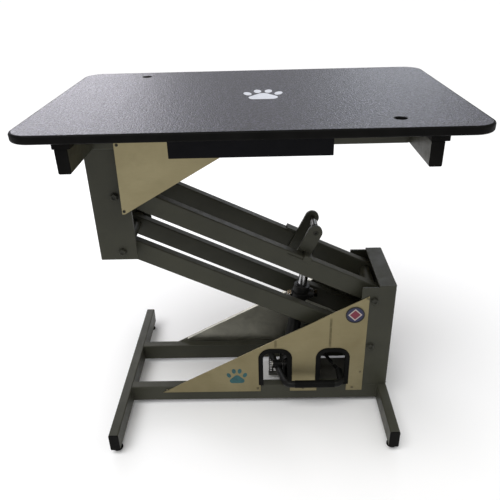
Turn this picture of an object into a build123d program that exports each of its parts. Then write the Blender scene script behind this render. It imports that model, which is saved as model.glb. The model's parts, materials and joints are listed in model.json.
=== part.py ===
from build123d import *
import os
from math import cos, hypot, radians, sin

# Hydraulic grooming table with a parallelogram lift.
# Origin: floor level under the middle of the tabletop. +X to the column side, +Y to the rear, +Z up.
# Every part below the top is drawn on the frame's own middle, which FRAME_OFFSET then moves into place.

# ---------------------------------------------------------------- driving dimensions, mm
TOP_LENGTH = 922.0
TOP_DEPTH = 612.0
TOP_HEIGHT = 855.6
TOP_CORNER = 49.0
CORE_THICKNESS = 16.0
LAMINATE = 1.5
BAND = 5.0
BAND_ROUND = 4.6
POST_HOLE_R = 13.2
POST_HOLES = [(-284.0, 242.0), (289.0, -237.0)]
TOP_PAW = (27.0, -4.0)
FRAME_OFFSET = (3.0, 4.0, 0.0)

TUBE_W = 25.4
TUBE_H = 50.8
TUBE_WALL = 2.5
TUBE_CORNER = 3.0
CAP_THICKNESS = 3.0

BASE_TOP = 65.0
FOOT_HALF_LENGTH = 283.0
LEFT_FOOT_X = -375.5
RIGHT_FOOT_X = 344.8
FRAME_FACE_Y = 105.0
CHANNEL_PLATE = 5.0
LEVELLER_Y = 262.0
LEVELLER_PAD_R = 13.0
STUD_R = 5.0
WELD_NUT = 6.0
PAN_LEFT = 60.0

COLUMN_OPEN_X = 270.0
COLUMN_WEB_X = 357.5
COLUMN_TOP = 389.0
COLUMN_CAP_DEPTH = 44.0
UPRIGHT_OPEN_X = -293.0
UPRIGHT_WEB_X = -385.0
UPRIGHT_BOTTOM = 481.0

ARM_LENGTH = 700.0
ARM_ANGLE = 25.7
PIVOT_SPACING = 146.0
COLUMN_PIVOT_X = 303.0
COLUMN_PIVOT_Z = 200.0
ARM_FACE_Y = 75.0
ARM_END = 22.0
PIVOT_R = 5.0
PIVOT_HEX = 16.0
SLEEVE_R = 16.0
RUNNING = 0.05

TOP_CROSSBAR_HALF = 285.0
LEFT_CROSSBAR_X = -364.0
RIGHT_CROSSBAR_X = 349.5
RAIL_DROP = 1.5
STRIP_THICKNESS = 15.0
STRIP_WIDTH = 36.0
STRIP_OVERHANGS = (4.0, 9.0)

PANEL = 1.5
SCREW_R = 2.0
FRONT_LOWER_LEFT_X = -275.0
REAR_LOWER_LEFT_X = -290.0
LOWER_RIGHT_X = 290.0
LOWER_BOTTOM_Z = 44.5
LOWER_TOP_Z = 360.0
LOWER_LIPS = (1.2, 10.0)
LOWER_SCREWS_IN_RAIL = [(-262, 54), (-4, 55), (124, 54), (262, 54)]
LOWER_SCREWS_IN_COLUMN = [(281, 110), (286, 352)]
ARCH_WIDTH = 93.0
ARCH_STARTS = (-1.0, 157.0)
ARCH_TOP = 195.0
ARCH_CORNER = 34.0
TRIM_WIDTH = 13.0
TRIM_GRIP = 5.0
TRIM_BOTTOM = 69.0
PANEL_PAW = (-62.0, 98.0)
BADGE = (256.0, 303.0)

UPPER_EDGE_TOP_X = -304.5
UPPER_TIP_X = -308.0
UPPER_TIP_Z = 615.5
UPPER_TIP_FLAT = 6.5
UPPER_SLOPE = 0.58
UPPER_LIP = 10.0
UPPER_TIP_SCREW = (-303.0, 622.5)
UPPER_RAIL_SCREWS = [(-298.5, 781.0), (-110.0, 806.0), (44.0, 806.0)]

RAM_PIN = (152.0, 516.0)
RAM_PIN_R = 7.0
RAM_EYE = (85.71, 89.47)
RAM_SOCKET = (88.0, 85.0)
ROD_R = 12.5
ROD_NECK_R = 8.0
ROD_LENGTH = 300.0
BARREL_R = 19.0
BORE_R = 16.5
GLAND_R = 22.0
GLAND_START = 184.0
GLAND_END = 225.0
MANIFOLD_AT = 214.0
BARREL_START = 212.0
BARREL_END = 409.0

PEDAL_Y = -54.0
PEDAL_Z = 100.0
PEDAL_LEFT = 76.0
PEDAL_RIGHT = 227.0
PEDAL_BAR_Y = -138.0
PEDAL_BAR_Z = 97.0
PEDAL_TUBE_R = 9.2
PEDAL_BRACKETS_X = (68.0, 168.0)
SPRING_X = 36.0
SPRING_Y = 3.0
PLUNGER_X = 152.0
PLUNGER_Y = -70.0
PLUNGER_TOP = 87.5

DRAWER_LEFT = -162.0
DRAWER_RIGHT = 155.0
DRAWER_FRONT = -280.0
DRAWER_BACK = -136.0
DRAWER_BOTTOM = 797.0
RUNNER_FLANGE = 5.0

# ---------------------------------------------------------------- worked-out sizes
TOP_UNDER = TOP_HEIGHT - CORE_THICKNESS - LAMINATE
FRAME_TOP = TOP_UNDER - STRIP_THICKNESS
FRAME_BOTTOM = FRAME_TOP - TUBE_H
TUBE_BOTTOM = BASE_TOP - TUBE_H
PAN_TOP = TUBE_BOTTOM + 3
LOWER_SCREWS = LOWER_SCREWS_IN_RAIL + LOWER_SCREWS_IN_COLUMN
UPPER_FACE_Y = FRAME_FACE_Y + TUBE_W
RUN_X = ARM_LENGTH * cos(radians(ARM_ANGLE))
RISE_Z = ARM_LENGTH * sin(radians(ARM_ANGLE))
COLUMN_PIVOTS = [(COLUMN_PIVOT_X, COLUMN_PIVOT_Z + n * PIVOT_SPACING) for n in (0, 1)]
UPRIGHT_PIVOTS = [(x - RUN_X, z + RISE_Z) for x, z in COLUMN_PIVOTS]
RAM_LENGTH = hypot(RAM_PIN[0] - RAM_EYE[0], RAM_PIN[1] - RAM_EYE[1])
ARM_DIRECTION = (-cos(radians(ARM_ANGLE)), 0, sin(radians(ARM_ANGLE)))
ARM_NORMAL = (sin(radians(ARM_ANGLE)), 0, cos(radians(ARM_ANGLE)))


# ---------------------------------------------------------------- helpers
def save(name, *pieces, offset=FRAME_OFFSET):
    """Write one node, each piece as its own solid."""
    solids = [Pos(*offset) * solid for piece in pieces for solid in piece.solids()]
    export_step(solids[0] if len(solids) == 1 else Compound(solids), f"parts/{name}.step")


def mirrored(piece):
    """The same piece on the other side of the middle plane Y = 0."""
    return mirror(piece, about=Plane.XZ)


def block(x0, x1, y0, y1, z0, z1):
    """A box between its low and high corners."""
    return Pos((x0 + x1) / 2, (y0 + y1) / 2, (z0 + z1) / 2) * Box(x1 - x0, y1 - y0, z1 - z0)


def rod(start, end, radius):
    """A round bar from one point to another."""
    axis = Vector(*end) - Vector(*start)
    return extrude(Plane(origin=start, z_dir=axis) * Circle(radius), axis.length)


def cross_rod(x, z, y0, y1, radius):
    """A round bar parallel to Y."""
    return rod((x, y0, z), (x, y1, z), radius)


def hexagon(start, end, across_flats):
    """A hexagonal bar from one point to another."""
    axis = Vector(*end) - Vector(*start)
    section = RegularPolygon(across_flats / 2, 6, major_radius=False)
    return extrude(Plane(origin=start, z_dir=axis) * section, axis.length)


def tube_along(origin, across, direction, length):
    """A rectangular frame tube: its narrow side lies along `across`."""
    outer = RectangleRounded(TUBE_W, TUBE_H, TUBE_CORNER)
    inner = Rectangle(TUBE_W - 2 * TUBE_WALL, TUBE_H - 2 * TUBE_WALL)
    return extrude(Plane(origin=origin, x_dir=across, z_dir=direction) * (outer - inner), length)


def y_tube(x, z, half_length):
    return tube_along((x, -half_length, z), (1, 0, 0), (0, 1, 0), 2 * half_length)


def x_tube(x0, x1, y, z):
    return tube_along((x0, y, z), (0, 1, 0), (1, 0, 0), x1 - x0)


def end_caps(x, z, half_length):
    """Plastic plugs in both ends of a tube parallel to Y."""
    plug_w = TUBE_W - 2 * TUBE_WALL - 0.2
    plug_h = TUBE_H - 2 * TUBE_WALL - 0.2
    face = Plane(origin=(x, -half_length, z), x_dir=(1, 0, 0), z_dir=(0, -1, 0))
    cap = extrude(face * RectangleRounded(TUBE_W, TUBE_H, TUBE_CORNER), CAP_THICKNESS)
    cap = chamfer(cap.faces().sort_by(Axis.Y)[0].edges(), 1.2)
    cap += extrude(face * Rectangle(plug_w, plug_h), -14)
    return [cap, mirrored(cap)]


def channel(web_x, open_x, z0, z1):
    """A folded U channel standing up, its web at web_x and open towards open_x."""
    low, high = min(web_x, open_x), max(web_x, open_x)
    outer = Pos((low + high) / 2, 0) * Rectangle(high - low, 2 * FRAME_FACE_Y)
    inside = CHANNEL_PLATE if web_x == low else -CHANNEL_PLATE
    shift = Pos((low + high) / 2 + inside / 2, 0)
    inner = shift * Rectangle(high - low - CHANNEL_PLATE, 2 * (FRAME_FACE_Y - CHANNEL_PLATE))
    side = 0 if web_x == low else -1
    outer = fillet(outer.vertices().group_by(Axis.X)[side], 4)
    inner = fillet(inner.vertices().group_by(Axis.X)[side], 2)
    return Pos(0, 0, z0) * extrude(outer - inner, z1 - z0)


def pivot_fasteners(x, z):
    """A long hexagon bolt with a dished head across a channel, with two washers and a nut."""
    washer, head, nut = 2.0, 6.5, 8.0
    face = FRAME_FACE_Y + washer
    bolt = hexagon((x, -face - head, z), (x, -face, z), PIVOT_HEX)
    bolt = chamfer(bolt.faces().sort_by(Axis.Y)[0].edges(), 1.5)
    bolt -= cross_rod(x, z, -face - head, -face - head + 2, 4.5)
    bolt += cross_rod(x, z, -face, face + nut + 4, PIVOT_R)
    bore = cross_rod(x, z, -face - 1, face + nut + 1, PIVOT_R + RUNNING)
    washers = [cross_rod(x, z, y, y + washer, 9.5) - bore for y in (-face, FRAME_FACE_Y)]
    return [bolt, *washers, hexagon((x, face, z), (x, face + nut, z), PIVOT_HEX) - bore]


def pivot_bores(points):
    """Clearance holes for the pivot bolts, as one cutter."""
    return Part() + [cross_rod(x, z, -150, 150, PIVOT_R + RUNNING) for x, z in points]


def side_plate(outline, face_y, thickness):
    """A flat sheet on the front of the frame, from an outline of X and Z."""
    return extrude(Plane.XZ.offset(face_y) * make_face(Polyline(*outline, close=True)), thickness)


def screws(points, face_y, reach):
    """Pan-head screws through the front sheets."""
    pieces = []
    for x, z in points:
        head = cross_rod(x, z, -face_y - 2, -face_y, 3.4)
        head = fillet(head.faces().sort_by(Axis.Y)[0].edges(), 1.2)
        slot = block(x - 2.2, x + 2.2, -face_y - 3, -face_y - 1.1, z - 0.5, z + 0.5)
        pieces.append(head - slot + cross_rod(x, z, -face_y, -face_y + reach, SCREW_R))
    return pieces


def screw_holes(points, y0, y1):
    return Part() + [cross_rod(x, z, y0, y1, SCREW_R + RUNNING) for x, z in points]


def paw(width):
    """Flat paw outline: a three-lobed pad and four toes, toes towards +Y."""
    pad = make_hull([
        *(Pos(-0.22 * width, -0.24 * width) * Circle(0.14 * width)).edges(),
        *(Pos(0.22 * width, -0.24 * width) * Circle(0.14 * width)).edges(),
        *(Pos(0, -0.04 * width) * Circle(0.15 * width)).edges(),
    ])
    toes = []
    for x, y, lean in ((-0.39, 0.11, 24), (-0.14, 0.36, 7), (0.14, 0.36, -7), (0.39, 0.11, -24)):
        toes.append(Pos(x * width, y * width) * Rot(0, 0, lean) * Ellipse(0.095 * width, 0.145 * width))
    return [pad, *toes]


# ---------------------------------------------------------------- base
def base_frame():
    foot_z = BASE_TOP - TUBE_H / 2
    rail_y = FRAME_FACE_Y - TUBE_W / 2
    rail_x0 = LEFT_FOOT_X + TUBE_W / 2
    rail_x1 = RIGHT_FOOT_X - TUBE_W / 2
    caps = []
    for name, x in (("left_foot", LEFT_FOOT_X), ("right_foot", RIGHT_FOOT_X)):
        foot = y_tube(x, foot_z, FOOT_HALF_LENGTH)
        for y in (-LEVELLER_Y, LEVELLER_Y):
            foot += hexagon((x, y, TUBE_BOTTOM - WELD_NUT), (x, y, TUBE_BOTTOM), 17)
            foot -= rod((x, y, 0), (x, y, TUBE_BOTTOM + 10), STUD_R + RUNNING)
        save(name, foot)
        caps += end_caps(x, foot_z, FOOT_HALF_LENGTH)
    save("foot_end_caps", *caps)
    front = x_tube(rail_x0, rail_x1, -rail_y, foot_z)
    front -= screw_holes(LOWER_SCREWS_IN_RAIL, -FRAME_FACE_Y - 1, -rail_y)
    save("front_base_rail", front)
    save("rear_base_rail", mirrored(front))

    inner_y = FRAME_FACE_Y - TUBE_W
    pan = block(PAN_LEFT, rail_x1, -inner_y, 68, TUBE_BOTTOM, PAN_TOP)
    pan += block(PAN_LEFT, rail_x1, -inner_y, -inner_y + 3, PAN_TOP, 42)
    pan += block(SPRING_X - 8, PAN_LEFT, SPRING_Y - 8, SPRING_Y + 8, TUBE_BOTTOM, PAN_TOP)
    save("base_pan", pan)


def levelling_feet():
    """Rubber-soled pads on threaded studs, one under each end of both feet."""
    for side, x in (("left", LEFT_FOOT_X), ("right", RIGHT_FOOT_X)):
        for place, y in (("front", -LEVELLER_Y), ("rear", LEVELLER_Y)):
            pad = rod((x, y, 0), (x, y, 5), LEVELLER_PAD_R)
            pad = chamfer(pad.faces().sort_by(Axis.Z)[-1].edges(), 2)
            pad = fillet(pad.faces().sort_by(Axis.Z)[0].edges(), 0.8)
            save(f"levelling_foot_{place}_{side}", pad + rod((x, y, 4), (x, y, 40), STUD_R))


def column():
    body = channel(COLUMN_WEB_X, COLUMN_OPEN_X, BASE_TOP, COLUMN_TOP - CHANNEL_PLATE)
    body -= pivot_bores(COLUMN_PIVOTS)
    body -= screw_holes(LOWER_SCREWS_IN_COLUMN, -FRAME_FACE_Y - 1, FRAME_FACE_Y + 1)
    save("column_channel", body)

    cap_mid = COLUMN_WEB_X - COLUMN_CAP_DEPTH / 2
    cap = Pos(cap_mid, 0) * Rectangle(COLUMN_CAP_DEPTH, 2 * FRAME_FACE_Y)
    cap = fillet(cap.vertices().group_by(Axis.X)[-1], 4)
    save("column_top_cap", Pos(0, 0, COLUMN_TOP - CHANNEL_PLATE) * extrude(cap, CHANNEL_PLATE))
    save("column_pivot_fasteners", *[f for x, z in COLUMN_PIVOTS for f in pivot_fasteners(x, z)])


# ---------------------------------------------------------------- lower panels
def arch(inset, bottom):
    """The two arch shapes of the front panel, shrunk by inset, on the XZ plane."""
    shapes = []
    for start in ARCH_STARTS:
        width = ARCH_WIDTH - 2 * inset
        top = ARCH_TOP - inset
        middle = Pos(start + ARCH_WIDTH / 2, (top + bottom) / 2)
        shape = middle * Rectangle(width, top - bottom)
        shapes.append(fillet(shape.vertices().group_by(Axis.Y)[-1], ARCH_CORNER - inset))
    return shapes


def lip(start, end, face_y, depth):
    """The return lip folded inwards along a sloping edge."""
    along = (Vector(*end) - Vector(*start)).normalized()
    inward = Vector(along.Y, -along.X) * PANEL
    a, b = Vector(*start), Vector(*end)
    outline = [(p.X, p.Y) for p in (a, b, b + inward, a + inward)]
    return side_plate(outline, face_y - depth, depth)


def lower_sheet(left_x, lip_depth):
    """A right-angled triangle of sheet on the front of the base, with a lip along its slope."""
    slope = (LOWER_TOP_Z - LOWER_BOTTOM_Z) / (LOWER_RIGHT_X - left_x)
    outline = [
        (left_x, LOWER_BOTTOM_Z),
        (LOWER_RIGHT_X, LOWER_BOTTOM_Z),
        (LOWER_RIGHT_X, LOWER_TOP_Z),
        (LOWER_RIGHT_X - 6, LOWER_TOP_Z - 6 * slope),
    ]
    edge = [(x, LOWER_BOTTOM_Z + (x - left_x) * slope) for x in (-225.0, 262.0)]
    sheet = side_plate(outline, FRAME_FACE_Y, PANEL) + lip(*edge, FRAME_FACE_Y, lip_depth)
    return sheet - screw_holes(LOWER_SCREWS, -FRAME_FACE_Y - 5, -FRAME_FACE_Y + 1)


def lower_panels():
    sheet = lower_sheet(FRONT_LOWER_LEFT_X, LOWER_LIPS[0])
    save("rear_lower_panel", mirrored(lower_sheet(REAR_LOWER_LEFT_X, LOWER_LIPS[1])))

    face = Plane.XZ.offset(FRAME_FACE_Y - 4)
    for shape in arch(TRIM_GRIP, 30):
        sheet -= extrude(face * shape, 10)
    save("front_lower_panel", sheet)

    trims = []
    for outer, inner in zip(arch(0, TRIM_BOTTOM), arch(TRIM_WIDTH, TRIM_BOTTOM - 5)):
        band = Plane.XZ.offset(FRAME_FACE_Y - 2.5) * (outer - inner)
        trim = extrude(band, PANEL + 5)
        trims.append(fillet(trim.faces().sort_by(Axis.Y)[0].edges().filter_by(Axis.Z), 1.5) - sheet)
    save("arch_trims", *trims)

    heads = screws(LOWER_SCREWS, FRAME_FACE_Y + PANEL, 6)
    save("lower_panel_screws", *heads, *[mirrored(head) for head in heads])

    decal = Plane.XZ.offset(FRAME_FACE_Y + PANEL) * Pos(*PANEL_PAW)
    save("panel_paw_decal", *[extrude(decal * shape, 0.3) for shape in paw(58)])
    badge = Plane.XZ.offset(FRAME_FACE_Y + PANEL) * Pos(*BADGE)
    disc = extrude(badge * Circle(25), 0.6) + extrude(badge * (Circle(25) - Circle(22.5)), 1.4)
    save("round_badge", disc)


# ---------------------------------------------------------------- lift arms
def arms():
    """Two pairs of parallel arms, each pair welded to a sleeve at both ends."""
    half_sleeve = FRAME_FACE_Y - CHANNEL_PLATE - 1
    for level, right, left in zip(("lower", "upper"), COLUMN_PIVOTS, UPRIGHT_PIVOTS):
        start = Vector(right[0], -ARM_FACE_Y + TUBE_W / 2, right[1]) - Vector(*ARM_DIRECTION) * ARM_END
        arm = tube_along(start, (0, 1, 0), ARM_DIRECTION, ARM_LENGTH + 2 * ARM_END)
        sleeves = []
        for x, z in (right, left):
            arm -= cross_rod(x, z, -150, 150, SLEEVE_R + RUNNING)
            sleeve = cross_rod(x, z, -half_sleeve, half_sleeve, SLEEVE_R)
            sleeves.append(sleeve - cross_rod(x, z, -150, 150, PIVOT_R + RUNNING))
        save(f"{level}_front_arm", arm)
        save(f"{level}_rear_arm", mirrored(arm))
        save(f"{level}_arm_sleeves", *sleeves)


def arm_frame():
    """Frame on the upper right pivot: X along the arm, Z square to it, upwards."""
    x, z = COLUMN_PIVOTS[1]
    return Plane(origin=(x, 0, z), x_dir=ARM_DIRECTION, z_dir=ARM_NORMAL)


def ram_lug_bracket():
    """Two lugs welded inside the upper arms, each with a pad over its arm, that hold the ram's top pin."""
    x, z = COLUMN_PIVOTS[1]
    reach = Vector(RAM_PIN[0] - x, 0, RAM_PIN[1] - z)
    along = reach.dot(Vector(*ARM_DIRECTION))
    above = reach.dot(Vector(*ARM_NORMAL))
    top, pad, flap, lug = TUBE_H / 2, 6.0, 3.0, 8.0
    inner = ARM_FACE_Y - TUBE_W
    profile = make_hull([
        *(Pos(along + 2, above) * Circle(18.5)).edges(),
        *(Pos(along + 2, top - 40) * Rectangle(38, 10)).edges(),
    ])
    brackets = []
    for side, pad_end in ((-1, 46), (1, 4)):
        outer = side * (ARM_FACE_Y + flap)
        bracket = extrude(Plane.XZ.offset(inner if side < 0 else lug - inner) * profile, -lug)
        over = sorted((side * inner, outer))
        down = sorted((side * ARM_FACE_Y, outer))
        bracket += block(along - 17, along + pad_end, *over, top, top + pad)
        bracket += block(along - 17, along + pad_end, *down, top - 9, top)
        bracket -= rod((along, -80, above), (along, 80, above), RAM_PIN_R + RUNNING)
        brackets.append(arm_frame() * bracket)
    save("ram_lug_bracket", *brackets)

    x, z = RAM_PIN
    pin = cross_rod(x, z, -inner, inner, RAM_PIN_R) - cross_rod(x, z, -inner, 4 - inner, 4)
    save("ram_top_pin", chamfer(pin.edges().filter_by(GeomType.CIRCLE).group_by(SortBy.RADIUS)[-1], 0.8))


# ---------------------------------------------------------------- hydraulic ram
def ram_point(distance):
    """A point on the ram's axis, measured from the top pin towards its foot."""
    t = distance / RAM_LENGTH
    return tuple(a + (b - a) * t for a, b in zip((RAM_PIN[0], 0, RAM_PIN[1]), (RAM_EYE[0], 0, RAM_EYE[1])))


def ram_bar(start, end, radius):
    return rod(ram_point(start), ram_point(end), radius)


def ram():
    x, z = RAM_PIN
    neck = ROD_LENGTH - 12
    piston_rod = cross_rod(x, z, -16, 16, 9.5) + ram_bar(0, 14, ROD_NECK_R)
    piston_rod += ram_bar(14, neck, ROD_R) + ram_bar(neck, ROD_LENGTH, ROD_NECK_R)
    save("ram_rod", piston_rod - cross_rod(x, z, -60, 60, RAM_PIN_R + RUNNING))
    piston = ram_bar(neck, ROD_LENGTH, BORE_R - RUNNING)
    save("ram_piston", piston - ram_bar(neck - 1, ROD_LENGTH + 1, ROD_NECK_R + RUNNING))

    tube = ram_bar(BARREL_START, BARREL_END, BARREL_R)
    save("ram_barrel", tube - ram_bar(BARREL_START - 1, BARREL_END + 1, BORE_R))
    gland = ram_bar(GLAND_START, GLAND_END, GLAND_R) - ram_bar(GLAND_START - 1, GLAND_END + 1, ROD_R + RUNNING)
    gland -= ram_bar(BARREL_START, GLAND_END + 1, BARREL_R) - ram_bar(BARREL_START - 1, GLAND_END + 2, BORE_R)
    save("ram_gland", chamfer(gland.faces().sort_by(Axis.Z)[-1].edges(), 1.0))

    eye_x, eye_z = RAM_EYE
    foot = cross_rod(eye_x, eye_z, -20, 20, 20) + ram_bar(BARREL_END, RAM_LENGTH, BARREL_R)
    foot += ram_bar(BARREL_END - 4.5, BARREL_END, BORE_R - RUNNING)
    save("ram_foot", foot + cross_rod(eye_x, eye_z, -30, 30, 7))

    head = ram_point(MANIFOLD_AT)
    collar_r = GLAND_R + 3
    collar = ram_bar(MANIFOLD_AT - 8, MANIFOLD_AT + 8, collar_r)
    left, right, level = head[0] - collar_r, head[0] + 36, head[2]
    manifold = rod((head[0], 0, level), (right, 0, level), 13)
    manifold += collar
    manifold += rod((right - 10, 0, level), (right - 5, 0, level), 15)
    manifold -= ram_bar(MANIFOLD_AT - 30, MANIFOLD_AT + 30, GLAND_R)
    save("ram_manifold", *manifold.solids())
    union = rod((left - 9, 0, level), (left + 2, 0, level), 6.5)
    for start, across in ((left - 3, 21), (left - 9, 18)):
        union += hexagon((start - 2, 0, level), (start + 3, 0, level), across)
    plug = rod((right, 0, level), (right + 3, 0, level), 8)
    plug += hexagon((right + 3, 0, level), (right + 11, 0, level), 19)
    union -= collar + ram_bar(GLAND_START, GLAND_END, GLAND_R)
    save("ram_fittings", union, plug)


def clevis_and_pump():
    """The ears that guide the ram's foot, and the foot pump, on the base pan."""
    x, z = RAM_SOCKET
    ear_y0, ear_y1 = 22.0, 38.0
    profile = make_hull([
        *(Pos(x, z) * Circle(24)).edges(),
        *(Pos(x, PAN_TOP + 4) * Rectangle(52, 8)).edges(),
    ])
    ear = extrude(Plane.XZ.offset(ear_y0) * profile, ear_y1 - ear_y0)
    ear -= cross_rod(x, z, -ear_y0 - 9.5, -ear_y0, 14.2)
    save("ram_clevis_ears", ear, mirrored(ear))

    body = block(130, 166, -76, -20, PAN_TOP, 62)
    reservoir = block(126, 172, -26, 40, PAN_TOP, 58)
    body = fillet(body.edges().filter_by(Axis.Z), 4) + fillet(reservoir.edges().filter_by(Axis.Z), 5)
    body += hexagon((PLUNGER_X, PLUNGER_Y, 62), (PLUNGER_X, PLUNGER_Y, 70), 19)
    body += hexagon((162, -8, 58), (162, -8, 64), 17) + rod((162, -8, 64), (162, -8, 72), 4)
    body -= rod((PLUNGER_X, PLUNGER_Y, 40), (PLUNGER_X, PLUNGER_Y, 80), 6 + RUNNING)
    save("pump_body", body)
    save("pump_plunger", rod((PLUNGER_X, PLUNGER_Y, 50), (PLUNGER_X, PLUNGER_Y, PLUNGER_TOP), 6))


# ---------------------------------------------------------------- pedal
def pedal():
    """U-shaped bail that rocks on a fixed shaft behind the front panel."""
    shaft_bore = rod((0, PEDAL_Y, PEDAL_Z), (300, PEDAL_Y, PEDAL_Z), 8 + RUNNING)
    brackets = []
    for x in PEDAL_BRACKETS_X:
        plate = make_hull([
            *(Pos(PEDAL_Y, PEDAL_Z) * Circle(13)).edges(),
            *(Pos(PEDAL_Y, PAN_TOP + 1) * Rectangle(28, 2)).edges(),
        ])
        bracket = extrude(Plane(origin=(x, 0, 0), x_dir=(0, 1, 0), z_dir=(1, 0, 0)) * plate, 6)
        brackets.append(bracket - shaft_bore)
    save("pedal_brackets", *brackets)
    shaft = rod((36, PEDAL_Y, PEDAL_Z), (176, PEDAL_Y, PEDAL_Z), 8)
    save("pedal_shaft", chamfer(shaft.edges().filter_by(GeomType.CIRCLE), 1))

    arm_end = (PEDAL_RIGHT - 1, PEDAL_BAR_Y + 54, PEDAL_BAR_Z)
    tube = FilletPolyline(
        (SPRING_X, SPRING_Y, PEDAL_Z - 12),
        (PEDAL_LEFT, PEDAL_BAR_Y, PEDAL_BAR_Z),
        (PEDAL_RIGHT, PEDAL_BAR_Y, PEDAL_BAR_Z),
        arm_end,
        radius=18,
    )
    brace = FilletPolyline(
        arm_end, (195, -12, PEDAL_BAR_Z), (150, -12, PEDAL_BAR_Z), (150, PEDAL_Y, PEDAL_Z), radius=10
    )
    bail = sweep(Plane(origin=tube @ 0, z_dir=tube % 0) * Circle(PEDAL_TUBE_R), path=tube)
    bail += sweep(Plane(origin=brace @ 0, z_dir=brace % 0) * Circle(4.5), path=brace)
    bail += Pos(*arm_end) * Sphere(PEDAL_TUBE_R)
    bail += rod((40, PEDAL_Y, PEDAL_Z), (67, PEDAL_Y, PEDAL_Z), 12)
    bail += rod((75, PEDAL_Y, PEDAL_Z), (167, PEDAL_Y, PEDAL_Z), 12)
    nose = make_hull([
        *(Pos(PEDAL_Y, PEDAL_Z + 2) * Circle(6)).edges(),
        *(Pos(PLUNGER_Y, PEDAL_Z - 7) * Circle(5)).edges(),
    ])
    bail += extrude(Plane(origin=(147, 0, 0), x_dir=(0, 1, 0), z_dir=(1, 0, 0)) * nose, 10)
    save("pedal_bail", bail - shaft_bore)

    bar = [(x, PEDAL_BAR_Y, PEDAL_BAR_Z) for x in (PEDAL_LEFT + 22, PEDAL_RIGHT - 20)]
    sleeve = rod(*bar, PEDAL_TUBE_R + 1) - rod(*bar, PEDAL_TUBE_R + RUNNING)
    save("pedal_sleeve", fillet(sleeve.edges().filter_by(GeomType.CIRCLE).sort_by(SortBy.RADIUS)[-2:], 0.6))

    turns_bottom, turns_top, coil_r, wire_r = PAN_TOP + 5, PEDAL_Z - 25, 6.0, 1.4
    helix = Pos(SPRING_X, SPRING_Y, turns_bottom) * Helix(6.8, turns_top - turns_bottom, coil_r)
    coil = sweep(Plane(origin=helix @ 0, z_dir=helix % 0) * Circle(wire_r), path=helix)
    save("pedal_spring", coil)


# ---------------------------------------------------------------- table
def upright():
    """The channel that hangs from the table frame and carries the arms' left pivots."""
    body = channel(UPRIGHT_WEB_X, UPRIGHT_OPEN_X, UPRIGHT_BOTTOM, FRAME_TOP)
    crossbar_right = LEFT_CROSSBAR_X + TUBE_W / 2
    body -= block(UPRIGHT_WEB_X - 1, crossbar_right, -150, 150, FRAME_BOTTOM, FRAME_TOP + 1)
    body -= pivot_bores(UPRIGHT_PIVOTS)
    body -= screw_holes([UPPER_TIP_SCREW], -FRAME_FACE_Y - 1, FRAME_FACE_Y + 1)
    save("upright_channel", body)
    save("upright_pivot_fasteners", *[f for x, z in UPRIGHT_PIVOTS for f in pivot_fasteners(x, z)])


def table_frame():
    z = FRAME_TOP - TUBE_H / 2
    y = FRAME_FACE_Y + TUBE_W / 2
    caps = []
    for name, x in (("left_top_crossbar", LEFT_CROSSBAR_X), ("right_top_crossbar", RIGHT_CROSSBAR_X)):
        save(name, y_tube(x, z, TOP_CROSSBAR_HALF))
        caps += end_caps(x, z, TOP_CROSSBAR_HALF)
    save("top_end_caps", *caps)
    rail = x_tube(LEFT_CROSSBAR_X + TUBE_W / 2, RIGHT_CROSSBAR_X - TUBE_W / 2, -y, z - RAIL_DROP)
    rail -= screw_holes(UPPER_RAIL_SCREWS, -UPPER_FACE_Y - 1, -y)
    save("front_top_rail", rail)
    save("rear_top_rail", mirrored(rail))

    strips = []
    for x, side, overhang in zip((LEFT_CROSSBAR_X, RIGHT_CROSSBAR_X), (-1, 1), STRIP_OVERHANGS):
        outer = x + side * (TUBE_W / 2 + overhang)
        x0, x1 = sorted((outer, outer - side * STRIP_WIDTH))
        strip = block(x0, x1, -TOP_CROSSBAR_HALF - 5, TOP_CROSSBAR_HALF + 5, FRAME_TOP, TOP_UNDER)
        strips.append(fillet(strip.edges().filter_by(Axis.Z), 4))
    save("mounting_strips", *strips)


def upper_panels():
    top_z = TOP_UNDER - 2
    slope_x = UPPER_TIP_X + UPPER_TIP_FLAT
    right_x = slope_x + (top_z - UPPER_TIP_Z) / UPPER_SLOPE
    outline = [
        (UPPER_EDGE_TOP_X, top_z),
        (UPPER_TIP_X, UPPER_TIP_Z),
        (slope_x, UPPER_TIP_Z),
        (right_x, top_z),
    ]
    sheet = side_plate(outline, UPPER_FACE_Y, PANEL)
    edge = [(x, UPPER_TIP_Z + (x - slope_x) * UPPER_SLOPE) for x in (right_x - 24, slope_x + 22)]
    below_rail = block(-400, 300, -200, 0, 500, FRAME_BOTTOM - RAIL_DROP - 1)
    sheet += lip(*edge, UPPER_FACE_Y, UPPER_LIP) & below_rail
    sheet -= screw_holes([UPPER_TIP_SCREW] + UPPER_RAIL_SCREWS, -UPPER_FACE_Y - 5, -UPPER_FACE_Y + 1)
    save("front_upper_panel", sheet)
    save("rear_upper_panel", mirrored(sheet))

    x, z = UPPER_TIP_SCREW
    spacer = cross_rod(x, z, -UPPER_FACE_Y, -FRAME_FACE_Y, 4.5)
    spacer -= cross_rod(x, z, -UPPER_FACE_Y, -FRAME_FACE_Y, SCREW_R + RUNNING)
    save("upper_panel_spacers", spacer, mirrored(spacer))
    heads = screws(UPPER_RAIL_SCREWS, UPPER_FACE_Y + PANEL, 6)
    heads += screws([UPPER_TIP_SCREW], UPPER_FACE_Y + PANEL, TUBE_W + PANEL + 8)
    save("upper_panel_screws", *heads, *[mirrored(head) for head in heads])


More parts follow.
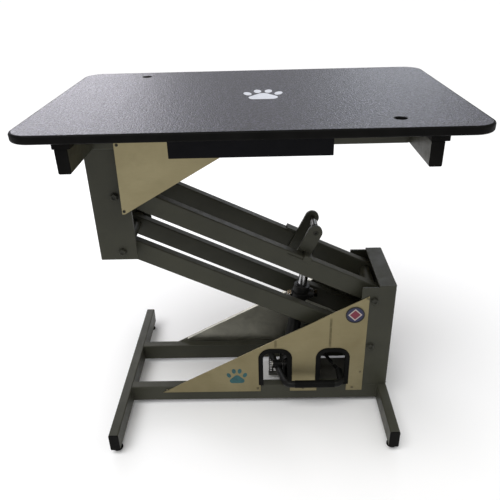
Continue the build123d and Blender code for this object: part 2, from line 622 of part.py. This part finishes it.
def tabletop():
    holes = Part() + [rod((x, y, 800), (x, y, 900), POST_HOLE_R) for x, y in POST_HOLES]
    outer = RectangleRounded(TOP_LENGTH, TOP_DEPTH, TOP_CORNER)
    inner = RectangleRounded(TOP_LENGTH - 2 * BAND, TOP_DEPTH - 2 * BAND, TOP_CORNER - BAND)
    core_top = TOP_UNDER + CORE_THICKNESS
    centred = (0, 0, 0)
    core = Pos(0, 0, TOP_UNDER) * extrude(inner, CORE_THICKNESS) - holes
    save("tabletop_core", core, offset=centred)

    inlay = 0.3
    low = Pos(*TOP_PAW, TOP_HEIGHT - inlay)
    decal = [low * extrude(scale(shape, (1, 1.34, 1)), inlay) for shape in paw(92)]
    save("top_paw_decal", *decal, offset=centred)
    surface = Pos(0, 0, core_top) * extrude(inner, LAMINATE) - holes
    for shape in decal:
        surface -= shape
    save("tabletop_surface", surface, offset=centred)

    band = Pos(0, 0, TOP_UNDER) * extrude(outer, TOP_HEIGHT - TOP_UNDER)
    rims = band.faces().sort_by(Axis.Z)
    band = fillet(rims[0].edges() + rims[-1].edges(), BAND_ROUND)
    band -= Pos(0, 0, TOP_UNDER - 1) * extrude(inner, TOP_HEIGHT - TOP_UNDER + 2)
    save("tabletop_edge_band", band, offset=centred)


def drawer():
    """Shallow tool drawer on two runners, each of three welded strips, under the tabletop."""
    sheet, gap, ear = 2.0, 0.5, 33.0
    runners = []
    for edge, out in ((DRAWER_LEFT, -1), (DRAWER_RIGHT, 1)):
        y0, y1 = DRAWER_FRONT + 3, DRAWER_BACK + 2
        flange = sorted((edge, edge + out * ear))
        wall = sorted((edge, edge - out * sheet))
        ledge = sorted((edge - out * sheet, edge - out * 14))
        runners.append(block(*flange, y0, y1, TOP_UNDER - RUNNER_FLANGE, TOP_UNDER))
        runners.append(block(*wall, y0, y1, DRAWER_BOTTOM, TOP_UNDER))
        runners.append(block(*ledge, y0, y1, DRAWER_BOTTOM, DRAWER_BOTTOM + sheet))
    save("drawer_runners", *runners)

    x0, x1 = DRAWER_LEFT + sheet + gap, DRAWER_RIGHT - sheet - gap
    z0, z1 = DRAWER_BOTTOM + sheet + gap, TOP_UNDER - 4
    tray = block(x0, x1, DRAWER_FRONT + sheet, DRAWER_BACK, z0, z1)
    tray -= block(x0 + sheet, x1 - sheet, DRAWER_FRONT, DRAWER_BACK - sheet, z0 + sheet, z1 + 1)
    front = block(DRAWER_LEFT, DRAWER_RIGHT, DRAWER_FRONT, DRAWER_FRONT + sheet, DRAWER_BOTTOM, TOP_UNDER - 1)
    save("drawer_tray", tray + fillet(front.edges().filter_by(Axis.Y), 1.5))


os.makedirs("parts", exist_ok=True)
base_frame()
levelling_feet()
column()
lower_panels()
arms()
ram_lug_bracket()
ram()
clevis_and_pump()
pedal()
upright()
table_frame()
upper_panels()
tabletop()
drawer()
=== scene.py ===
"""Looks of the grooming table: materials, weld beads, floor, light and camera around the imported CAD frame."""

import json
import math

import bmesh
import bpy
from mathutils import Matrix, Vector


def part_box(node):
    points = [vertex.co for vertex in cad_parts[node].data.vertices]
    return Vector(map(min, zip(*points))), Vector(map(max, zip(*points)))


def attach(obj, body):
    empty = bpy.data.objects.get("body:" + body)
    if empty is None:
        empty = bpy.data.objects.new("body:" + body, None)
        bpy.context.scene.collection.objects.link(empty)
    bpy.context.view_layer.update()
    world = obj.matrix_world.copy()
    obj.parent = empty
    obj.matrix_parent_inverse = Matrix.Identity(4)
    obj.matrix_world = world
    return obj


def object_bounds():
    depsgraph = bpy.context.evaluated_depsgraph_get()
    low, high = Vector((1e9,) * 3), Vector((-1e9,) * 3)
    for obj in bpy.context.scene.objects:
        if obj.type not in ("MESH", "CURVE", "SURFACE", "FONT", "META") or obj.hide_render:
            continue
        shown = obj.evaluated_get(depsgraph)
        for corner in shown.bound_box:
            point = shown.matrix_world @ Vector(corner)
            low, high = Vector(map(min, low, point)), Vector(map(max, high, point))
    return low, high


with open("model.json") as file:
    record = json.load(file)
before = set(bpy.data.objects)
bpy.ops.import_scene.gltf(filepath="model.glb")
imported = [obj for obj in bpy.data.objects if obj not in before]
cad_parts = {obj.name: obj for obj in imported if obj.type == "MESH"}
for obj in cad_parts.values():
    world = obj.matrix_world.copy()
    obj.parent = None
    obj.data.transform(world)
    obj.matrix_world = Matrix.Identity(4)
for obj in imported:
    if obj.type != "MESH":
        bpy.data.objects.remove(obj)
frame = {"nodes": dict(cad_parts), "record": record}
cad_low, cad_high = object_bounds()
nodes = frame["nodes"]

# ---------------------------------------------------------------- driving dimensions, m

ROUNDED_EDGE = 0.0011  # radius that painted and moulded edges seem to have
BORE_BLACK_TO = 0.0142  # the post holes are black up to here from their axes
BORE_BLACK_END = 0.0149
FLOOR_GAP = 0.0002  # under the feet, so that the floor and the soles don't lie in one plane

# The rest is measured from the middle of the steel frame, which lies at OFFSET in the row frame.
OFFSET = Vector((0.003, 0.004, 0.0))
ARM_SLOPE = math.radians(25.7)
UPPER_PIVOT = Vector((0.303, 0.0, 0.346))
RAM_PIN = Vector((0.152, 0.0, 0.516))
RAM_UNION = Vector((0.075, 0.0, 0.320))  # just past the left end of the fittings on the ram's head
RAIL_FACE_Y = 0.105
TOP_RAIL_FACE_Y = 0.1304
COLUMN_FACE_X = 0.3575
FOOT_SEAMS_X = {"left": -0.3628, "right": 0.3321}
CROSSBAR_SEAMS_X = {"left": -0.3513, "right": 0.3368}
BEAD_RADIUS = 0.0022


# ---------------------------------------------------------------- node tree helper


class Graph:
    """One material's node tree, in object coordinates, which are metres in the row frame."""

    def __init__(self, name, **sockets):
        self.material = bpy.data.materials.new(name)
        self.material.use_nodes = True
        self.tree = self.material.node_tree
        self.shader = self.tree.nodes["Principled BSDF"]
        for socket, value in sockets.items():
            self.shader.inputs[socket.replace("_", " ")].default_value = value
        self.place = self.node("TexCoord").outputs["Object"]

    def node(self, kind, inputs=None, **settings):
        made = self.tree.nodes.new("ShaderNode" + kind)
        for key, value in settings.items():
            setattr(made, key, value)
        for key, value in (inputs or {}).items():
            self.put(made.inputs[key], value)
        return made

    def put(self, socket, value):
        if isinstance(value, bpy.types.NodeSocket):
            self.tree.links.new(value, socket)
        else:
            socket.default_value = value

    def give(self, socket, value):
        self.put(self.shader.inputs[socket], value)

    def stretched(self, factors):
        """Object coordinates multiplied by factors, one for each axis."""
        return self.node("Mapping", {"Vector": self.place, "Scale": factors}).outputs[0]

    def noise(self, scale, detail=3.0, rough=0.55, place=None, warp=0.0):
        inputs = {"Vector": place or self.place, "Scale": scale, "Detail": detail, "Roughness": rough,
                  "Distortion": warp}
        return self.node("TexNoise", inputs).outputs["Fac"]

    def pebbles(self, scale, smooth):
        """Distance to the nearest of many scattered points, with softened borders."""
        inputs = {"Vector": self.place, "Scale": scale, "Smoothness": smooth}
        return self.node("TexVoronoi", inputs, feature="SMOOTH_F1").outputs["Distance"]

    def distance(self, point, axes):
        """Distance from a point, along the axes that are 1 and not 0."""
        aside = self.node("VectorMath", {0: self.place, 1: point}, operation="SUBTRACT").outputs["Vector"]
        level = self.node("VectorMath", {0: aside, 1: axes}, operation="MULTIPLY").outputs["Vector"]
        return self.node("VectorMath", {0: level}, operation="LENGTH").outputs["Value"]

    def axis(self, vector, name):
        return self.node("SeparateXYZ", {0: vector}).outputs[name]

    def facing(self, name, normal="Normal"):
        """How far the surface looks along an axis, from -1 to 1."""
        return self.axis(self.node("NewGeometry").outputs[normal], name)

    def ramp(self, value, *stops):
        """A colour for each value, from (position, (r, g, b)) stops in rising order."""
        made = self.node("ValToRGB", {"Fac": value})
        elements = made.color_ramp.elements
        elements[0].position, elements[-1].position = stops[0][0], stops[-1][0]
        for position, _ in stops[1:-1]:
            elements.new(position)
        for element, (_, colour) in zip(elements, stops):
            element.color = (*colour, 1.0)
        return made.outputs["Color"]

    def span(self, value, low, high, to_low=0.0, to_high=1.0):
        inputs = {"Value": value, "From Min": low, "From Max": high, "To Min": to_low, "To Max": to_high}
        return self.node("MapRange", inputs).outputs["Result"]

    def sum(self, a, b):
        return self.node("Math", {0: a, 1: b}, operation="ADD").outputs[0]

    def times(self, a, b):
        return self.node("Math", {0: a, 1: b}, operation="MULTIPLY").outputs[0]

    def absolute(self, value):
        return self.node("Math", {0: value}, operation="ABSOLUTE").outputs[0]

    def mix(self, share, a, b):
        return self.node("Mix", {0: share, 6: a, 7: b}, data_type="RGBA").outputs[2]

    def rounded(self, radius=ROUNDED_EDGE):
        return self.node("Bevel", {"Radius": radius}, samples=6).outputs["Normal"]

    def edges(self, normal):
        """From 0 on flat metal to 1 on an edge, where the rounded normal leaves the face's own."""
        flat = self.node("NewGeometry").outputs["True Normal"]
        turn = self.node("VectorMath", {0: normal, 1: flat}, operation="DOT_PRODUCT").outputs["Value"]
        return self.span(turn, 0.985, 0.86)

    def bump(self, height, distance, strength, normal=None):
        inputs = {"Height": height, "Distance": distance, "Strength": strength}
        if normal is not None:
            inputs["Normal"] = normal
        return self.node("Bump", inputs).outputs["Normal"]


def rgb(red, green, blue):
    return (red, green, blue, 1.0)


def scaled(colour, factor):
    return tuple(factor * value for value in colour)


# ---------------------------------------------------------------- materials


def powder_coat(name, dark, light, roughness=0.42, wear=0.30, shine=0.20, dust=0.06):
    """Satin paint with orange peel, faint dust on its upper faces and rubbed edges."""
    g = Graph(name, Specular_IOR_Level=shine)
    rounded = g.rounded()
    cloudy = g.noise(7.0, 4.0)
    colour = g.ramp(cloudy, (0.30, dark), (0.72, light))
    rubbed = g.times(g.edges(rounded), g.span(g.noise(42.0, 5.0), 0.42, 0.62, 0.25, 1.0))
    worn = tuple(min(1.0, 1.9 * value + 0.02) for value in light)
    colour = g.mix(g.times(rubbed, wear), colour, rgb(*worn))
    specks = g.span(g.noise(24.0, 6.0, 0.65), 0.38, 0.75, 0.0, dust)
    settled = g.times(g.span(g.facing("Z"), 0.6, 1.0), specks)
    g.give("Base Color", g.mix(settled, colour, rgb(0.20, 0.20, 0.19)))
    g.give("Roughness", g.span(g.noise(55.0, 4.0), 0.3, 0.7, roughness - 0.05, roughness + 0.08))
    g.give("Normal", g.bump(g.noise(620.0, 2.0), 0.00035, 0.35, rounded))
    return g.material


def brushed_steel(name, dark, light, roughness, marks=(), inside=None):
    """Cold rolled sheet with a fine grain along X, cloudy reflections painted into its colour, and handling
    marks.

    Each of marks is an upright rub line, as (x, low z, high z). The inside colour, if there is one,
    is that of the unpolished face and edges, which don't look towards +Y."""
    g = Graph(name, Metallic=1.0, Specular_IOR_Level=0.5)
    lines = g.noise(4.0, 4.0, 0.6, g.stretched((6.0, 420.0, 420.0)))
    cloudy = g.noise(5.5, 5.0, 0.6, warp=0.6)
    colour = g.ramp(cloudy, (0.32, dark), (0.68, light))
    colour = g.mix(g.span(lines, 0.3, 0.7, 0.0, 0.12), colour, rgb(*scaled(dark, 0.78)))
    smear = g.span(g.noise(16.0, 6.0, 0.7, warp=1.2), 0.55, 0.72)
    colour = g.mix(g.times(smear, 0.12), colour, rgb(*scaled(dark, 0.7)))
    if inside:
        mill = g.noise(13.0, 6.0, 0.7, warp=0.8)
        mill = g.ramp(mill, (0.35, inside), (0.66, scaled(inside, 1.4)))
        colour = g.mix(g.span(g.facing("Y", "True Normal"), 0.6, 0.4), colour, mill)
    for mark in marks:
        colour = g.mix(rub_line(g, *mark), colour, rgb(*scaled(dark, 0.35)))
    g.give("Base Color", colour)
    uneven = g.span(g.noise(12.0, 5.0), 0.3, 0.7, roughness - 0.04, roughness + 0.07)
    g.give("Roughness", g.sum(uneven, g.span(lines, 0.25, 0.75, -0.05, 0.05)))
    g.give("Normal", g.bump(lines, 0.00004, 0.5, g.rounded(0.001)))
    return g.material


def rub_line(g, x, low, high):
    """How strongly a faint upright mark shows: soft at its sides and ends, and patchy."""
    half_width, soft_side, soft_end = 0.0040, 0.0016, 0.008
    aside = g.absolute(g.sum(g.axis(g.place, "X"), -x))
    height = g.axis(g.place, "Z")
    ends = g.times(g.span(height, low, low + soft_end), g.span(height, high, high - soft_end))
    patchy = g.span(g.noise(70.0), 0.3, 0.6, 0.45, 0.75)
    return g.times(g.times(g.span(aside, half_width, half_width - soft_side), ends), patchy)


def laminate(name):
    """Charcoal high-pressure laminate with a fine raised pebble. Its dark speckle is its own; the bright bluish
    specks in it are painted glints of the pebble, and the bluish cloudy patches are painted sheen.
    """
    g = Graph(name, Specular_IOR_Level=0.55)
    height = g.sum(g.times(g.pebbles(290.0, 0.35), -1.0), g.times(g.noise(260.0, 4.0, 0.7), 1.2))
    # Speckle: the darker stops are the laminate's own colour, and the bright bluish stop is painted glints of
    # the pebble.
    colour = g.ramp(
        g.noise(240.0, 3.0, 0.75),
        (0.34, (0.014, 0.014, 0.018)),
        (0.52, (0.040, 0.040, 0.052)),
        (0.68, (0.120, 0.116, 0.170)),
    )
    # Bluish cloudy patches: painted sheen, placed at random.
    cloudy = g.span(g.noise(3.2, 3.0), 0.3, 0.7, 0.0, 0.25)
    colour = g.mix(cloudy, colour, rgb(0.052, 0.056, 0.070))
    g.give("Base Color", black_bores(g, colour))
    g.give("Roughness", g.span(g.noise(160.0, 3.0), 0.3, 0.7, 0.30, 0.46))
    g.give("Normal", g.bump(height, 0.0010, 0.8, g.rounded(0.0015)))
    return g.material


def black_bores(g, colour):
    """The colour, turned black in the post holes and just round them."""
    shares = []
    for mount in frame["record"]["mounts"]:
        if mount["kind"] == "bore":
            from_axis = g.distance(mount["pos_m"], (1.0, 1.0, 0.0))
            shares.append(g.span(from_axis, BORE_BLACK_END, BORE_BLACK_TO))
    return g.mix(g.sum(*shares), colour, rgb(0.004, 0.004, 0.004))


def moulded(name, dark, light, roughness, texture=1400.0, depth=0.00012):
    """Moulded black plastic or rubber: a spark-eroded skin and rounded edges."""
    g = Graph(name, Specular_IOR_Level=0.06)
    g.give("Base Color", g.ramp(g.noise(20.0, 4.0), (0.35, dark), (0.70, light)))
    g.give("Roughness", g.span(g.noise(90.0, 4.0), 0.3, 0.7, roughness - 0.06, roughness + 0.08))
    g.give("Normal", g.bump(g.noise(texture, 2.0), depth, 0.5, g.rounded()))
    return g.material


def plated(name, dark, light, roughness, painted=None):
    """Plated steel: bright, with cloudy patches and turning marks too fine to count.

    If painted is (point, bright, black), the plating changes to black paint between these two
    distances from an axis parallel to Y through the point."""
    g = Graph(name, Metallic=1.0)
    colour = g.ramp(g.noise(60.0, 4.0), (0.3, dark), (0.7, light))
    if painted:
        point, bright, black = painted
        share = g.span(g.distance(point, (1.0, 0.0, 1.0)), bright, black)
        colour = g.mix(share, colour, rgb(0.035, 0.034, 0.030))
    g.give("Base Color", colour)
    g.give("Roughness", g.span(g.noise(130.0, 4.0), 0.3, 0.7, roughness, roughness + 0.10))
    g.give("Normal", g.bump(g.noise(900.0), 0.00002, 0.4, g.rounded(0.0004)))
    return g.material


def particle_board(name):
    """Pressed wood chips, black in the post holes."""
    g = Graph(name, Specular_IOR_Level=0.1)
    chips = g.node("TexVoronoi", {"Vector": g.stretched((1.0, 1.0, 2.4)), "Scale": 260.0}).outputs["Color"]
    colour = g.ramp(
        g.axis(chips, "X"),
        (0.0, (0.20, 0.13, 0.07)),
        (0.5, (0.33, 0.24, 0.14)),
        (1.0, (0.46, 0.36, 0.23)),
    )
    g.give("Base Color", black_bores(g, colour))
    g.give("Roughness", g.span(g.noise(300.0, 3.0), 0.3, 0.7, 0.7, 0.9))
    g.give("Normal", g.bump(g.noise(420.0, 3.0), 0.0005, 0.6))
    return g.material


def vinyl(name, dark, light):
    """A cut vinyl decal, slightly uneven where it follows the surface below."""
    g = Graph(name, Specular_IOR_Level=0.5)
    g.give("Base Color", g.ramp(g.noise(60.0, 5.0, 0.65), (0.3, dark), (0.7, light)))
    g.give("Roughness", g.span(g.noise(180.0, 3.0), 0.3, 0.7, 0.36, 0.50))
    g.give("Normal", g.bump(g.noise(420.0, 2.0), 0.0002, 0.35))
    return g.material


def badge_print(name, centre, radius):
    """A round sticker: a wine diamond with a cream outline on navy, inside a dark rim."""
    g = Graph(name, Coat_Weight=0.12, Coat_Roughness=0.15, Specular_IOR_Level=0.25)
    from_centre = g.node("VectorMath", {0: g.place, 1: centre}, operation="SUBTRACT").outputs["Vector"]
    reach = g.distance(centre, (1.0, 1.0, 1.0))
    sides = g.sum(g.absolute(g.axis(from_centre, "X")), g.absolute(g.axis(from_centre, "Z")))
    colour = rgb(0.16, 0.016, 0.035)
    for measure, edge, tone in (
        (sides, 0.58, (0.42, 0.37, 0.34)),
        (sides, 0.74, (0.014, 0.016, 0.055)),
        (reach, 0.86, (0.006, 0.006, 0.006)),
    ):
        beyond = g.span(measure, radius * (edge - 0.02), radius * (edge + 0.02))
        colour = g.mix(beyond, colour, rgb(*tone))
    speckle = g.span(g.noise(900.0, 2.0), 0.3, 0.7, 0.0, 0.15)
    g.give("Base Color", g.mix(speckle, colour, rgb(0.05, 0.045, 0.05)))
    g.give("Roughness", g.span(g.noise(300.0, 3.0), 0.3, 0.7, 0.28, 0.40))
    return g.material


badge_low, badge_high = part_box("round_badge")
badge_centre = (badge_low + badge_high) / 2
badge_radius = (badge_high.x - badge_low.x) / 2

# The khaki tint of STEEL_DARK and STEEL_LIGHT is a painted warm reflection of beige surroundings. All three
# brushed steel finishes carry it.
STEEL_DARK, STEEL_LIGHT = (0.215, 0.183, 0.103), (0.275, 0.240, 0.142)
RUB_MARKS = ((0.0495, 0.195, 0.228), (0.1970, 0.195, 0.296))

# By material slot.
finishes = {
    "frame_paint": powder_coat("olive_grey_powder_coat", (0.030, 0.030, 0.021), (0.043, 0.043, 0.030)),
    "painted_fasteners": powder_coat(
        "olive_grey_brushed_paint", (0.020, 0.020, 0.014), (0.034, 0.034, 0.024), roughness=0.36, wear=0.4
    ),
    "panel_steel": brushed_steel("brushed_stainless_with_painted_warm_reflection", STEEL_DARK, STEEL_LIGHT, 0.42),
    "black_plastic": moulded(
        "moulded_black_plastic", (0.0020, 0.0019, 0.0017), (0.0042, 0.0040, 0.0036), roughness=0.55
    ),
    "black_rubber": moulded(
        "black_rubber",
        (0.0025, 0.0025, 0.0022),
        (0.0060, 0.0060, 0.0054),
        roughness=0.62,
        texture=900.0,
        depth=0.0002,
    ),
    "black_paint": powder_coat(
        "satin_black_paint", (0.005, 0.005, 0.005), (0.010, 0.010, 0.009), roughness=0.40, shine=0.22
    ),
    "zinc": plated("zinc_plate", (0.26, 0.25, 0.22), (0.42, 0.41, 0.38), 0.30),
    "chrome": plated("chrome_plate", (0.50, 0.50, 0.50), (0.66, 0.66, 0.67), 0.10),
    "wood_core": particle_board("particle_board"),
    "pebbled_laminate": laminate("pebbled_charcoal_laminate"),
    "white_decal": vinyl("pearl_white_vinyl", (0.58, 0.60, 0.66), (0.70, 0.72, 0.78)),
    "teal_decal": vinyl("teal_vinyl", (0.002, 0.044, 0.050), (0.005, 0.082, 0.088)),
    "badge": badge_print("diamond_badge", badge_centre, badge_radius),
}

# By node, for parts that look unlike the rest of their slot.
own_finishes = {
    "front_lower_panel": brushed_steel(
        "rubbed_brushed_stainless", STEEL_DARK, STEEL_LIGHT, 0.48, marks=RUB_MARKS
    ),
    "rear_lower_panel": brushed_steel(
        "one_side_brushed_stainless", STEEL_DARK, STEEL_LIGHT, 0.42, inside=(0.34, 0.335, 0.285)
    ),
    # The pan's light grey and heavy dust are partly real dust and scuffs. They are partly painted light,
    # standing in for the light from behind that the pan reflects.
    "base_pan": powder_coat(
        "scuffed_pan_paint_with_painted_light", (0.060, 0.060, 0.052), (0.120, 0.118, 0.104), roughness=0.5, wear=0.4, dust=0.5
    ),
    "lower_panel_screws": plated("steel_panel_screws", (0.13, 0.115, 0.075), (0.21, 0.185, 0.12), 0.42),
    "pedal_spring": plated("dark_spring_wire", (0.050, 0.050, 0.046), (0.13, 0.13, 0.12), 0.34),
    "drawer_tray": powder_coat(
        "blue_black_drawer",
        (0.0010, 0.0010, 0.0018),
        (0.0026, 0.0026, 0.0042),
        roughness=0.5,
        wear=0.2,
        shine=0.08,
        dust=0.03,
    ),
    "pedal_bail": powder_coat(
        "worn_pedal_black", (0.0020, 0.0020, 0.0018), (0.0060, 0.0060, 0.0055), shine=0.14, dust=0.05
    ),
    # The rod's chrome is darker than the chrome slot's. This is painted shade, standing in for the dark
    # surroundings it reflects. Near the pin it turns to black paint.
    "ram_rod": plated(
        "chrome_rod_with_painted_dark_reflection",
        (0.30, 0.30, 0.30),
        (0.40, 0.40, 0.41),
        0.16,
        painted=(RAM_PIN + OFFSET, 0.0165, 0.0145),
    ),
    "ram_fittings": plated(
        "half_painted_zinc",
        (0.56, 0.56, 0.58),
        (0.72, 0.72, 0.74),
        0.16,
        painted=(RAM_UNION + OFFSET, 0.040, 0.046),
    ),
}

for part in frame["record"]["subparts"]:
    mesh = nodes[part["node"]].data
    mesh.materials.clear()
    mesh.materials.append(own_finishes.get(part["node"], finishes[part["material_slot"]]))


# ---------------------------------------------------------------- weld beads


def weld(name, body, start, end):
    """A bead of overlapping ripples along a seam, between two points measured from the steel frame."""
    start, end = Vector(start) + OFFSET, Vector(end) + OFFSET
    count = max(2, round((end - start).length / (BEAD_RADIUS * 0.9)))
    turn = (end - start).to_track_quat("Z", "X").to_matrix().to_4x4()
    mesh = bpy.data.meshes.new(name)
    work = bmesh.new()
    for n in range(count + 1):
        size = BEAD_RADIUS * (1.0 + 0.10 * math.sin(2.7 * n) + 0.06 * math.sin(1.3 * n + 0.8))
        ripple = Matrix.Diagonal((size, size, size * 0.8, 1.0))
        matrix = Matrix.Translation(start.lerp(end, n / count)) @ turn @ ripple
        bmesh.ops.create_icosphere(work, subdivisions=2, radius=1.0, matrix=matrix)
    for face in work.faces:
        face.smooth = True
    work.to_mesh(mesh)
    work.free()
    mesh.materials.append(finishes["frame_paint"])
    made = bpy.data.objects.new(name, mesh)
    bpy.context.scene.collection.objects.link(made)
    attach(made, body)


def on_arm(along, y, above):
    """A point beside the upper arm, from the foot of the ram pin on the arm's middle line."""
    arm = Vector((-math.cos(ARM_SLOPE), 0.0, math.sin(ARM_SLOPE)))
    arm_up = Vector((math.sin(ARM_SLOPE), 0.0, math.cos(ARM_SLOPE)))
    pin_along = (RAM_PIN - UPPER_PIVOT).dot(arm)
    return UPPER_PIVOT + Vector((0.0, y, 0.0)) + arm * (pin_along + along) + arm_up * above


def upright_weld(name, body, x, y, low, high):
    weld(name, body, (x, y, low), (x, y, high))


for side, place, pad_end in ((-1, "front", 0.044), (1, "rear", 0.002)):
    for end, x in FOOT_SEAMS_X.items():
        upright_weld(f"weld_foot_{end}_{place}", "base", x, RAIL_FACE_Y * side, 0.018, 0.061)
    for end, x in CROSSBAR_SEAMS_X.items():
        upright_weld(f"weld_crossbar_{end}_{place}", "table", x, TOP_RAIL_FACE_Y * side, 0.774, 0.815)
    saddle = [on_arm(along, 0.0755 * side, 0.0164) for along in (-0.015, pad_end)]
    weld(f"weld_saddle_{place}", "upper_arms", *saddle)
    lug = [on_arm(along, 0.0498 * side, 0.0316) for along in (-0.014, 0.018)]
    weld(f"weld_lug_{place}", "upper_arms", *lug)
weld("weld_column_foot", "base", (COLUMN_FACE_X, -0.098, 0.0655), (COLUMN_FACE_X, 0.098, 0.0655))


# ---------------------------------------------------------------- floor, light and camera


def floor():
    """A large pale studio floor."""
    mesh = bpy.data.meshes.new("floor")
    work = bmesh.new()
    bmesh.ops.create_grid(work, x_segments=1, y_segments=1, size=40.0)
    work.to_mesh(mesh)
    work.free()
    made = bpy.data.objects.new("floor", mesh)
    bpy.context.scene.collection.objects.link(made)
    made.location.z = cad_low.z - FLOOR_GAP
    g = Graph("studio_floor", Specular_IOR_Level=0.1)
    g.give("Base Color", g.ramp(g.noise(0.8, 3.0), (0.3, (0.93, 0.93, 0.93)), (0.7, (0.96, 0.96, 0.96))))
    g.give("Roughness", g.span(g.noise(3.0, 3.0), 0.3, 0.7, 0.75, 0.9))
    mesh.materials.append(g.material)


def area_light(name, place, aim, size, power, colour):
    light = bpy.data.lights.new(name, "AREA")
    light.shape, light.size, light.size_y = "RECTANGLE", *size
    light.energy, light.color = power, colour
    made = bpy.data.objects.new(name, light)
    bpy.context.scene.collection.objects.link(made)
    made.location = place
    made.rotation_mode = "QUATERNION"
    made.rotation_quaternion = (Vector(aim) - Vector(place)).to_track_quat("-Z", "Y")


def sun(name, towards, strength, spread):
    """Parallel light from the direction `towards`, softened over an angle of spread degrees."""
    light = bpy.data.lights.new(name, "SUN")
    light.energy, light.angle = strength, math.radians(spread)
    made = bpy.data.objects.new(name, light)
    bpy.context.scene.collection.objects.link(made)
    made.rotation_mode = "QUATERNION"
    made.rotation_quaternion = Vector(towards).to_track_quat("Z", "Y")


def studio_world(level):
    """Even white light from all round."""
    world = bpy.data.worlds.new("studio")
    bpy.context.scene.world = world
    world.use_nodes = True
    world.node_tree.nodes["Background"].inputs["Color"].default_value = rgb(level, level, level)


def camera(place, pitch, yaw, roll, lens, shift):
    """Looks along +Y, turned down by pitch and about Z by yaw, then rolled, all in degrees."""
    pitch, yaw, roll = math.radians(pitch), math.radians(yaw), math.radians(roll)
    forward = Vector((math.sin(yaw) * math.cos(pitch), math.cos(yaw) * math.cos(pitch), -math.sin(pitch)))
    right = forward.cross(Vector((0, 0, 1))).normalized()
    up = right.cross(forward)
    rolled = math.cos(roll) * right + math.sin(roll) * up
    rolled_up = -math.sin(roll) * right + math.cos(roll) * up
    data = bpy.data.cameras.new("camera")
    data.lens, data.sensor_width = lens, 36.0
    data.shift_x, data.shift_y = shift
    data.clip_start, data.clip_end = 0.05, 100.0
    made = bpy.data.objects.new("camera", data)
    bpy.context.scene.collection.objects.link(made)
    turn = Matrix((rolled, rolled_up, -forward)).transposed().to_4x4()
    made.matrix_world = Matrix.Translation(place) @ turn
    bpy.context.scene.camera = made


floor()
studio_world(0.50)
sun("overhead", (-0.25, -0.35, 1.0), 2.1, 50.0)
area_light("behind_left", (-1.51, 2.42, 1.60), (-0.40, -0.27, 0.856), (1.6, 0.8), 19.0, (0.94, 0.92, 1.0))
area_light("behind_right", (1.0, 2.59, 1.60), (0.283, -0.23, 0.856), (0.8, 0.5), 4.0, (0.85, 0.90, 1.0))
camera((0.0171, -1.2801, 1.1343), 28.3, -1.1, -1.6, 39.22, (-0.005, 0.0012))
bpy.context.scene.view_settings.view_transform = "Standard"
